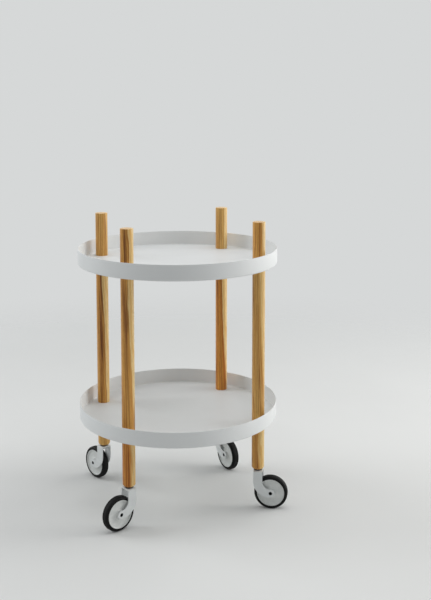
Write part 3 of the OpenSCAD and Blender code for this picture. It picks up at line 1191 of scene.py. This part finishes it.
@dataclass
class Caster:
    """One swivel caster: collar and stem on the post, fork, axle and wheel.

    The strip_ fields and spare say how far the working solids reach past the
    fork that is cut from them.
    """

    corner: Corner
    shop: Workshop
    wheel_radius: float = 37.5
    tyre_depth: float = 7.0
    tyre_width: float = 17.0
    tyre_shoulder: float = 5.0
    tyre_seam: Point = (0.35, 0.05)
    tyre_soft: float = 0.4
    tongue: Point = (1.2, 3.0)
    fork_inner: float = 10.5
    fork_sheet: float = 2.5
    fold_inner: float = 1.0
    reach_back: float = 9.0
    reach_front: float = 11.5
    straight: float = 24.0
    boss_wall: float = 5.0
    strip_drop: float = 20.0
    strip_run: Point = (-30.0, 80.0)
    spare: float = 4.0
    stem_radius: float = 4.0
    stem_head: Point = (7.0, 2.5)
    stem_soft: float = 0.8
    stem_chamfer: float = 1.0
    collar_soft: float = 0.5
    bush_radius: float = 6.05
    bush_flange: float = 2.0
    bush_flange_depth: float = 1.5
    soft: float = 0.3
    play: float = 0.05
    axle_radius: float = 4.0
    axle_wall: float = 0.8
    axle_half: float = 12.0
    axle_web: float = 1.5
    axle_soft: float = 0.2
    spacer: Point = (3.5, 1.2)
    hub_half: float = 9.1
    hub_radius: float = 9.55
    bush_wall: float = 2.0
    web_half: float = 5.2
    web_fillet: float = 2.5
    lip: Point = (1.6, 8.0)
    disc_soft: float = 0.5
    ease: float = 0.45
    small_steps: int = 64
    collar_steps: int = 96
    large_steps: int = 144

    def __post_init__(self) -> None:
        """Reads the swivel axis and the axle from the frame's joints."""
        joints = {joint["name"]: joint for joint in frame["joints"]}
        swivel = Vector(joints[self.node("swivel")]["pos_m"]) / MM
        spin = joints[self.node("wheel_spin")]
        self.axle_at = Vector(spin["pos_m"]) / MM
        ahead = (self.axle_at - swivel).to_2d()
        self.trail = ahead.length
        self.turned = math.degrees(math.atan2(ahead.y, ahead.x))
        self.stem_place = Matrix.Translation((swivel.x, swivel.y, 0))
        self.fork_place = self.stem_place @ Matrix.Rotation(math.radians(self.turned), 4, "Z")
        lying = Vector(spin["axis"]).to_track_quat("Z", "Y").to_matrix().to_4x4()
        self.wheel_place = Matrix.Translation(self.axle_at) @ lying
        self.fork_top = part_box(self.node("fork"))[1].z / MM
        self.fork_body = self.node("caster_fork")
        self.wheel_body = self.node("caster_wheel")

    def node(self, part: str) -> str:
        """Names this caster's node, body or joint of a part."""
        return f"{part}_{self.corner.value}"

    def arm_outline(self) -> Profile:
        """Draws an arm from the side: x from the stem, y above the floor.

        The curved edges are arcs that leave the straight part without a kink
        and touch the round end.

        Returns:
            The outline, from the top of the back edge round the front.
        """
        end_radius = self.axle_radius + self.boss_wall
        end = Vector((self.trail, self.axle_at.z))
        bend = self.fork_top - self.straight
        drop = bend - end.y
        front, back = self.trail - self.reach_front, self.trail + self.reach_back
        inner = (front**2 + drop**2 - end_radius**2) / (2 * (front + end_radius))
        outer = (back**2 + drop**2 - end_radius**2) / (2 * (back - end_radius))
        inner_at = Vector((self.reach_front + inner, bend))
        outer_at = Vector((outer - self.reach_back, bend))
        to_inner = math.degrees(math.atan2(inner_at.y - end.y, inner_at.x - end.x))
        from_outer = math.degrees(math.atan2(end.y - outer_at.y, end.x - outer_at.x))
        return [
            (-self.reach_back, self.fork_top + self.spare),
            (self.reach_front, self.fork_top + self.spare),
            *arc(inner_at, inner, 180, 180 + to_inner, 22),
            *arc(end, end_radius, to_inner, from_outer, 40)[1:-1],
            *arc(outer_at, outer, from_outer, -180, 30),
        ]

    def fold_outline(self) -> Profile:
        """Draws the folded strip from the front: x across, y above the floor.

        Returns:
            The outline of the strip, an upside-down U.
        """
        inner, outer = self.fork_inner, self.fork_inner + self.fork_sheet
        under, top = self.fork_top - self.fork_sheet, self.fork_top
        small, large = self.fold_inner, self.fold_inner + self.fork_sheet
        low = self.axle_at.z - self.strip_drop
        return [
            (-outer, low),
            *arc((large - outer, top - large), large, 180, 90),
            *arc((outer - large, top - large), large, 90, 0),
            (outer, low),
            (inner, low),
            *arc((inner - small, under - small), small, 0, 90),
            *arc((small - inner, under - small), small, 90, 180),
            (-inner, low),
        ]

    def build_fork(self) -> None:
        """Folds and cuts the fork, and settles it."""
        side = Matrix.Rotation(math.radians(90), 4, "X")
        ahead = Matrix.Rotation(math.radians(90), 4, "Z") @ side
        at_axle = Matrix.Translation((self.trail, 0, self.axle_at.z)) @ side
        at_seat = Matrix.Translation((0, 0, self.fork_top))
        width = self.fork_inner + self.fork_sheet + self.spare
        depth = 2 * self.spare
        bore, seat = (arc((0, 0), radius, 0, 360, 72)[:-1] for radius in (self.axle_radius, self.bush_radius))
        strip = prism("strip", self.fold_outline(), *self.strip_run, ahead)
        tools = [
            (prism("outline", self.arm_outline(), -width, width, side), "INTERSECT"),
            (prism("axle_bore", bore, -width, width, at_axle), "DIFFERENCE"),
            (prism("bush_seat", seat, -depth, depth, at_seat), "DIFFERENCE"),
        ]
        mesh = carve(strip, tools, self.ease)
        node = self.node("fork")
        lacquer = self.shop.finishes.lacquer.material(node + "_lacquer", middle_of(node))
        piece = piece_from("folded_" + node, mesh, self.fork_place, lacquer)
        settle(piece, self.fork_body, Slot.FORK_LACQUER, node)

    def disc_section(self) -> Profile:
        """Draws the wheel disc: radius, and distance along the axle.

        Returns:
            The closed half section.
        """
        bore = self.axle_radius + self.play + self.bush_wall
        rim = self.wheel_radius - self.tyre_depth
        wall, half = self.lip
        depth, width = self.tongue
        fillet, web, hub = self.web_fillet, self.web_half, self.hub_radius
        soft = self.disc_soft
        side = [
            (bore, self.hub_half),
            *arc((hub - soft, self.hub_half - soft), soft, 90, 0, 8),
            *arc((hub + fillet, web + fillet), fillet, 180, 270),
            *arc((rim - wall - fillet, web + fillet), fillet, 270, 360),
            *arc((rim - wall + soft, half - soft), soft, 180, 90, 8),
            *arc((rim - soft / 2, half - soft / 2), soft / 2, 90, 0, 8),
            (rim, width),
            (rim - depth, width),
        ]
        return side + [(r, -y) for r, y in reversed(side)]

    def tyre_section(self) -> Profile:
        """Draws the tyre: radius, and distance along the axle.

        Returns:
            The closed half section.
        """
        rim = self.wheel_radius - self.tyre_depth
        depth, width = self.tongue
        half, shoulder = self.tyre_width / 2, self.tyre_shoulder
        (seam, dip), soft = self.tyre_seam, self.tyre_soft
        side = [
            (rim - depth, width),
            (rim, width),
            *arc((rim + soft, half - soft), soft, 180, 90, 8),
            *arc((self.wheel_radius - shoulder, half - shoulder), shoulder, 90, 4, 20),
            (self.wheel_radius, seam * 3),
            (self.wheel_radius - dip, seam),
        ]
        return side + [(r, -y) for r, y in reversed(side)]

    def ring(self, outer: float, inner: float, low: float, high: float, soft: float) -> Profile:
        """Draws a plain ring with eased outer edges.

        Args:
            outer: Outer radius.
            inner: Radius of the bore.
            low: Lower end.
            high: Upper end.
            soft: Radius of the eased edges.

        Returns:
            The closed half section.
        """
        return [
            (inner, low),
            *arc((outer - soft, low + soft), soft, -90, 0, 8),
            *arc((outer - soft, high - soft), soft, 0, 90, 8),
            (inner, high),
        ]

    def build_swivel(self) -> None:
        """Makes the stem and collar on the post, and the bush in the fork."""
        lathe, finishes = self.shop.lathe, self.shop.finishes
        parts = ("caster_stem", "stem_collar", "swivel_bush")
        stem, collar, bush = (box_of(self.node(part)) for part in parts)
        low, high = stem[0].z, stem[1].z
        head_radius, head_top = self.stem_head[0], low + self.stem_head[1]
        rod = [
            (0, low),
            *arc((head_radius - self.stem_soft, low + self.stem_soft), self.stem_soft, -90, 0, 8),
            *arc((head_radius - self.soft, head_top - self.soft), self.soft, 0, 90, 8),
            (self.stem_radius, head_top),
            (self.stem_radius, high - self.stem_chamfer),
            (self.stem_radius - self.stem_chamfer, high),
            (0, high),
        ]
        radius = (collar[1].x - collar[0].x) / 2
        cuff = self.ring(radius, self.stem_radius, collar[0].z, collar[1].z, self.collar_soft)
        bore, low, high = self.stem_radius + self.play, bush[0].z, bush[1].z
        flange = self.bush_radius + self.bush_flange
        flanged = [
            (bore, low),
            *arc((flange - self.soft, low + self.soft), self.soft, -90, 0, 8),
            (flange, low + self.bush_flange_depth),
            (self.bush_radius, low + self.bush_flange_depth),
            (self.bush_radius, high),
            (bore, high),
        ]
        post, fork, few = self.shop.frame_body, self.fork_body, self.small_steps
        pieces = (
            ("caster_stem", rod, finishes.steel, "_steel", post, Slot.ZINC_STEEL, few),
            ("stem_collar", cuff, finishes.collar, "_plastic", post, Slot.BLACK_PLASTIC, self.collar_steps),
            ("swivel_bush", flanged, finishes.bush, "_plastic", fork, Slot.BUSH_PLASTIC, few),
        )
        for part, section, finish, kind, body, slot, steps in pieces:
            node = self.node(part)
            look = finish.material(node + kind, middle_of(node))
            closed = section is not rod
            piece = lathe.turn("turned_" + node, section, self.stem_place, look, steps, closed=closed)
            settle(piece, body, slot, node)

    def build_axle(self) -> None:
        """Makes the axle, bored from both ends and painted dark as the shade in its bore, and the two spacer
        washers.
        """
        lathe, finishes = self.shop.lathe, self.shop.finishes
        axle, spacers = self.node("axle"), self.node("wheel_spacers")
        place, steps, soft = self.wheel_place, self.small_steps, self.axle_soft
        # The axle is painted dark as the shade inside its bore.
        dark = finishes.bore_shade_steel.material(axle + "_dark_steel", self.axle_at * MM)
        steel = finishes.steel.material(spacers + "_steel", self.axle_at * MM)
        bore, half, web = self.axle_radius - self.axle_wall, self.axle_half, self.axle_web
        wall = self.ring(self.axle_radius, bore, -half, half, soft)
        tube = [(0, -web), (bore, -web), *wall, (bore, web), (0, web)]
        piece = lathe.turn("turned_" + axle, tube, place, dark, steps, closed=False)
        settle(piece, self.fork_body, Slot.ZINC_STEEL, axle)
        width, depth = self.spacer
        pair = []
        for low in (-self.fork_inner, self.fork_inner - depth):
            section = self.ring(self.axle_radius + width, self.axle_radius, low, low + depth, soft)
            pair.append(lathe.turn("washer", section, place, steel, steps))
        settle(joined("turned_" + spacers, pair), self.fork_body, Slot.ZINC_STEEL, spacers)

    def build_wheel(self) -> None:
        """Makes the bush, the disc and the tyre, and settles them on the wheel."""
        lathe, finishes = self.shop.lathe, self.shop.finishes
        centre = self.axle_at * MM
        half, inner = self.hub_half, self.axle_radius + self.play
        lining = self.ring(inner + self.bush_wall, inner, -half, half, self.axle_soft)
        milky = finishes.bush.material(self.node("wheel_bush") + "_plastic", centre)
        pale = finishes.disc.material(self.node("disc") + "_plastic", centre)
        name = self.node("tyre") + "_rubber"
        black = finishes.rubber.material(name, centre, self.turned, self.wheel_radius)
        pieces = (
            ("wheel_bush", lining, milky, Slot.BUSH_PLASTIC, self.small_steps),
            ("wheel_core", self.disc_section(), pale, Slot.WHEEL_PLASTIC, self.large_steps),
            ("tyre", self.tyre_section(), black, Slot.TYRE_RUBBER, self.large_steps),
        )
        for part, section, finish, slot, steps in pieces:
            piece = lathe.turn("turned_" + self.node(part), section, self.wheel_place, finish, steps)
            settle(piece, self.wheel_body, slot, self.node(part))

    def build(self) -> None:
        """Makes the whole caster."""
        self.build_swivel()
        self.build_fork()
        self.build_axle()
        self.build_wheel()


# Studio


@dataclass(frozen=True)
class Lamp:
    """A soft rectangular lamp that faces the trolley.

    Attributes:
        name: The lamp's name.
        bearing: Where it stands, in degrees to the right of the camera, seen from the trolley.
        rise: Its height above the aim, in degrees.
        distance: Its distance from the aim, in metres.
        size: Its width and height, in metres.
        power: Its power, in watts.
        tint: Its colour.
    """

    name: str
    bearing: float
    rise: float
    distance: float
    size: Point
    power: float
    tint: Triple = (1.0, 1.0, 1.0)


@dataclass
class Studio:
    """The camera, the lamps, the floor and the pale surroundings, in metres and degrees."""

    camera_at: Triple = (-0.6070, -2.0608, 0.9525)
    camera_heading: float = 18.696
    camera_dip: float = 6.206
    lens: float = 57.59
    lens_shift: float = -0.19
    sensor: float = 36.0
    aim: Triple = (0.0, 0.0, 0.33)
    backdrop: Colour = srgb(214, 216, 216)
    floor: Colour = srgb(225, 226, 225)
    floor_radius: float = 5.0
    floor_cloud: Pattern = Pattern(3, 3)
    floor_dimmed: float = 0.985  # share of its colour that the floor's darker clouds keep
    floor_roughness: float = 0.75
    floor_specular: float = 0.2
    floor_steps: int = 96
    floor_fade: Point = (0.8, 2.2)  # distances from the middle where it starts to fade and is gone
    ambient: float = 0.32
    ambient_tint: Colour = (0.97, 0.99, 1.0, 1.0)
    lamps: tuple[Lamp, ...] = (
        Lamp("window_lamp", 97, 15, 3.2, (1.5, 2.1), 49, (1.0, 0.99, 0.97)),
        Lamp("far_window_lamp", 128, 15, 3.2, (1.6, 2.1), 19, (1.0, 0.99, 0.97)),
        Lamp("left_lamp", -102, 26, 3.2, (1.8, 2.0), 40, (0.97, 0.99, 1.0)),
        Lamp("top_lamp", 60, 80, 2.6, (2.4, 2.4), 27),
    )

    def set_camera(self) -> None:
        """Puts the camera where the photograph was taken from."""
        data = bpy.data.cameras.new("camera")
        data.lens = self.lens
        data.sensor_width = self.sensor
        data.shift_y = self.lens_shift
        camera = linked("camera", data)
        camera.location = self.camera_at
        camera.rotation_euler = (math.radians(90 - self.camera_dip), 0, math.radians(-self.camera_heading))
        bpy.context.scene.camera = camera

    def set_lamps(self) -> None:
        """Places the lamps round the trolley, by their bearing from the camera."""
        for lamp in self.lamps:
            data = bpy.data.lights.new(lamp.name, "AREA")
            data.shape = "RECTANGLE"
            data.size, data.size_y = lamp.size
            data.energy = lamp.power
            data.color = lamp.tint
            bearing = math.radians(lamp.bearing - self.camera_heading)
            rise = math.radians(lamp.rise)
            level = math.cos(rise)
            away = Vector((math.sin(bearing) * level, -math.cos(bearing) * level, math.sin(rise)))
            light = linked(lamp.name, data)
            light.visible_camera = False
            light.location = Vector(self.aim) + away * lamp.distance
            light.rotation_euler = (-away).to_track_quat("-Z", "Y").to_euler()

    def set_world(self) -> None:
        """Gives the camera a pale backdrop and the object a soft ambient light."""
        world = bpy.data.worlds.new("surroundings")
        bpy.context.scene.world = world
        world.use_nodes = True
        nodes = Nodes(world.node_tree)
        light = nodes.add("Background", self.ambient_tint, self.ambient).outputs[0]
        seen = nodes.add("Background", self.backdrop).outputs[0]
        either = nodes.add("MixShader", nodes.seen_directly(), light, seen).outputs[0]
        nodes.add("OutputWorld", either)

    def set_floor(self) -> None:
        """Lays a pale floor that fades into the backdrop far from the trolley."""
        work = bmesh.new()
        sizes = {"segments": self.floor_steps, "radius": self.floor_radius}
        bmesh.ops.create_circle(work, cap_ends=True, **sizes)
        mesh = mesh_of("floor", work)
        sheet = NodeSheet("floor_paint")
        at = sheet.place()
        cloud = sheet.between(sheet.noise(at, self.floor_cloud), 0.3, 0.7)
        colour = sheet.mix(cloud, self.floor, tuple(c * self.floor_dimmed for c in self.floor))
        sheet.dress(Base_Color=colour, Roughness=self.floor_roughness, Specular_IOR_Level=self.floor_specular)
        mesh.materials.append(sheet.material)
        fade = sheet.between(sheet.vector("LENGTH", at), *self.floor_fade)
        gone = sheet.math("MULTIPLY", fade, sheet.seen_directly())
        glass = sheet.add("BsdfTransparent").outputs["BSDF"]
        either = sheet.add("MixShader", gone, sheet.shader.outputs["BSDF"], glass).outputs["Shader"]
        sheet.feed(sheet.output.inputs["Surface"], either)
        linked("floor", mesh)

    def build(self) -> None:
        """Sets up the whole studio."""
        self.set_camera()
        self.set_lamps()
        self.set_world()
        self.set_floor()
        bpy.context.scene.view_settings.view_transform = "Standard"
        LOG.info("studio: %d lamps", len(self.lamps))


def oak_boards() -> dict[tuple[Tier, Corner], OakBoard]:
    """Chooses a board for each of the twelve dowels, after the photographed hues.

    Returns:
        The boards by tier and corner.
    """
    tan = {"light": srgb(234, 190, 112), "dark": srgb(180, 122, 56), "streak": srgb(128, 76, 30)}
    warm = {"light": srgb(230, 162, 74), "dark": srgb(172, 98, 32), "streak": srgb(104, 50, 14)}
    brown = {"light": srgb(230, 174, 92), "dark": srgb(168, 107, 44), "streak": srgb(112, 62, 24)}
    top, middle, lower = Tier
    fl, fr, bl, br = Corner
    # The piths, turns and sapwood reaches put pale sapwood down the right side of most dowels, seen from the
    # camera, as a painted highlight.
    return {
        (top, fl): OakBoard(**brown, pith=(30, 8), turn=-45, shift=0.31, streaks=0.9, sap_and_highlight=47),
        (top, fr): OakBoard(**brown, pith=(52, -10), turn=-19, shift=0.07, streaks=0.7, sap_and_highlight=70),
        (top, bl): OakBoard(**tan, pith=(34, 14), turn=15, shift=0.52, streaks=0.7, ring=3.6),
        (top, br): OakBoard(**tan, pith=(38, -6), turn=-16, shift=0.83, streaks=0.4, sap_and_highlight=55),
        (middle, fl): OakBoard(**brown, pith=(44, 20), turn=-50, shift=1.21, streaks=0.7, sap_and_highlight=64),
        (middle, fr): OakBoard(**tan, pith=(48, 12), turn=-39, shift=1.74, streaks=0.7, sap_and_highlight=65, ring=3.4),
        (middle, bl): OakBoard(**brown, pith=(28, 22), turn=-63, shift=2.13, streaks=0.9, sap_and_highlight=51),
        (middle, br): OakBoard(**warm, pith=(40, 4), turn=-31, shift=2.67, streaks=0.9, sap_and_highlight=56, ring=5.2),
        (lower, fl): OakBoard(**warm, pith=(50, 16), turn=-43, shift=3.08, streaks=0.6, sap_and_highlight=67),
        (lower, fr): OakBoard(**brown, pith=(26, -12), turn=0, shift=3.44, streaks=0.9, sap_and_highlight=44),
        (lower, bl): OakBoard(**tan, pith=(42, 18), turn=120, shift=3.91, streaks=0.5),
        (lower, br): OakBoard(**warm, pith=(36, -4), turn=-60, shift=4.36, streaks=0.6),
    }


def main() -> None:
    """Builds the studio and every piece, in order."""
    logging.basicConfig(level=logging.INFO, format="%(name)s: %(message)s")
    Studio().build()
    shop = Workshop(Lathe())
    for node in ("upper_tray", "lower_tray"):
        Tray(node, shop).build()
    Posts(shop, oak_boards()).build()
    Hardware(shop).build()
    for corner in Corner:
        Caster(corner, shop).build()


if __name__ == "__main__":
    main()
